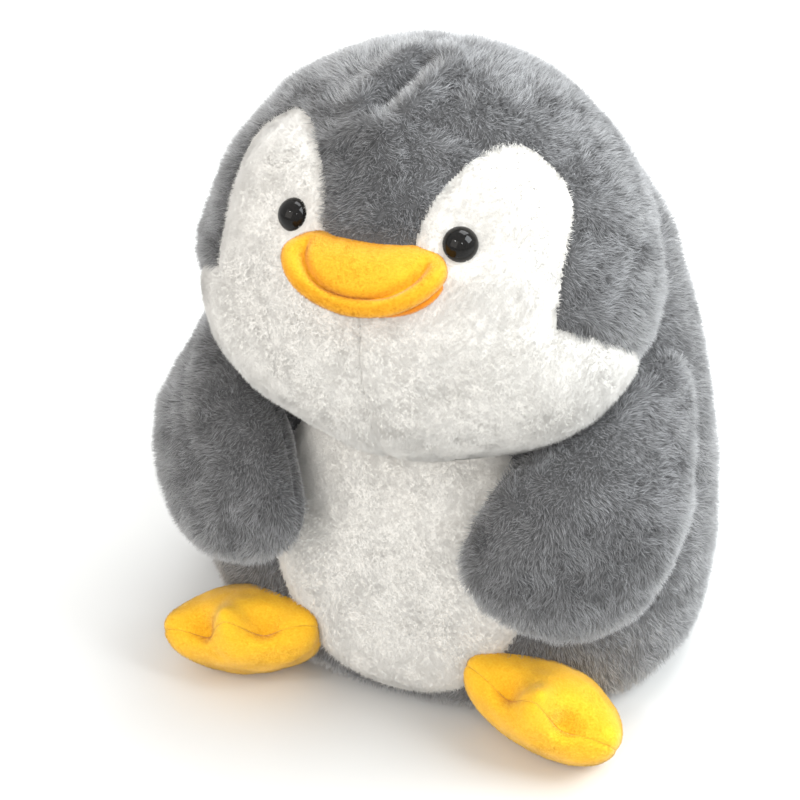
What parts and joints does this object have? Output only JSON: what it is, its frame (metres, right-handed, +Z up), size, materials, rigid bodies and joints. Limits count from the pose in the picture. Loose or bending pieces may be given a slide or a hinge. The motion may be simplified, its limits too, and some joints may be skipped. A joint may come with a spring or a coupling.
{
  "type": "plush penguin",
  "caption": "Sitting stuffed penguin with a large round head, white face and belly, paddle wings, padded yellow bill and webbed feet.",
  "frame": {"origin": "middle of the flat underside, on the surface the toy sits on", "axes": "+Z up, the penguin faces -Y, its left side is +X; the plane X = 0 is the plane of symmetry"},
  "size_m": [0.3028, 0.2676, 0.3659],
  "materials": {
    "grey_plush": "long-pile plush, mid grey with darker roots",
    "white_plush": "long-pile plush, soft warm white",
    "yellow_plush": "short-pile plush, warm yellow",
    "orange_plush": "short-pile plush, yellow-orange",
    "eye_black": "polished black with fine speckles",
    "washer_white": "moulded",
    "stuffing_fibre": "loose polyester fibre",
    "grey_thread": "sewing thread",
    "yellow_thread": "sewing thread"
  },
  "bodies": {
    "body": {"base_panel": "grey_plush", "belly_panel": "white_plush", "back_panel_left": "grey_plush", "back_panel_right": "grey_plush", "body_stuffing": "stuffing_fibre"},
    "head": {"crown_panel_left": "grey_plush", "crown_panel_right": "grey_plush", "forehead_panel": "grey_plush", "face_panel_left": "white_plush", "face_panel_right": "white_plush", "head_stuffing": "stuffing_fibre", "beak_upper": "yellow_plush", "beak_lower": "orange_plush", "beak_stuffing": "stuffing_fibre", "eye_left": "eye_black", "eye_right": "eye_black", "eye_washer_left": "washer_white", "eye_washer_right": "washer_white", "crown_tuck_thread": "grey_thread"},
    "wing_left": {"wing_left_outer": "grey_plush", "wing_left_inner": "grey_plush", "wing_left_stuffing": "stuffing_fibre"},
    "foot_left": {"foot_left_upper": "yellow_plush", "foot_left_sole": "yellow_plush", "foot_left_stuffing": "stuffing_fibre", "foot_left_toe_tacks": "yellow_thread"},
    "wing_right": {"wing_right_outer": "grey_plush", "wing_right_inner": "grey_plush", "wing_right_stuffing": "stuffing_fibre"},
    "foot_right": {"foot_right_upper": "yellow_plush", "foot_right_sole": "yellow_plush", "foot_right_stuffing": "stuffing_fibre", "foot_right_toe_tacks": "yellow_thread"}
  },
  "joints": [
    {"name": "head_nod", "type": "hinge", "parent": "body", "child": "head", "pos_m": [0, -0.043, 0.26], "axis": [1, 0, 0], "range_deg": [-8, 8], "stiffness_Nm_per_rad": 3},
    {"name": "wing_left_lift", "type": "hinge", "parent": "body", "child": "wing_left", "pos_m": [0.114, -0.048, 0.176], "axis": [-0.7986, -0.4347, 0.4162], "range_deg": [0, 60], "stiffness_Nm_per_rad": 0.35},
    {"name": "wing_right_lift", "type": "hinge", "parent": "body", "child": "wing_right", "pos_m": [-0.114, -0.048, 0.176], "axis": [-0.7986, 0.4347, -0.4162], "range_deg": [0, 60], "stiffness_Nm_per_rad": 0.35},
    {"name": "foot_left_flex", "type": "hinge", "parent": "body", "child": "foot_left", "pos_m": [0.082, -0.086, 0.024], "axis": [0.8746, 0.4848, 0], "range_deg": [-10, 10], "stiffness_Nm_per_rad": 0.3},
    {"name": "foot_right_flex", "type": "hinge", "parent": "body", "child": "foot_right", "pos_m": [-0.082, -0.086, 0.024], "axis": [0.8746, -0.4848, 0], "range_deg": [-10, 10], "stiffness_Nm_per_rad": 0.3}
  ]
}
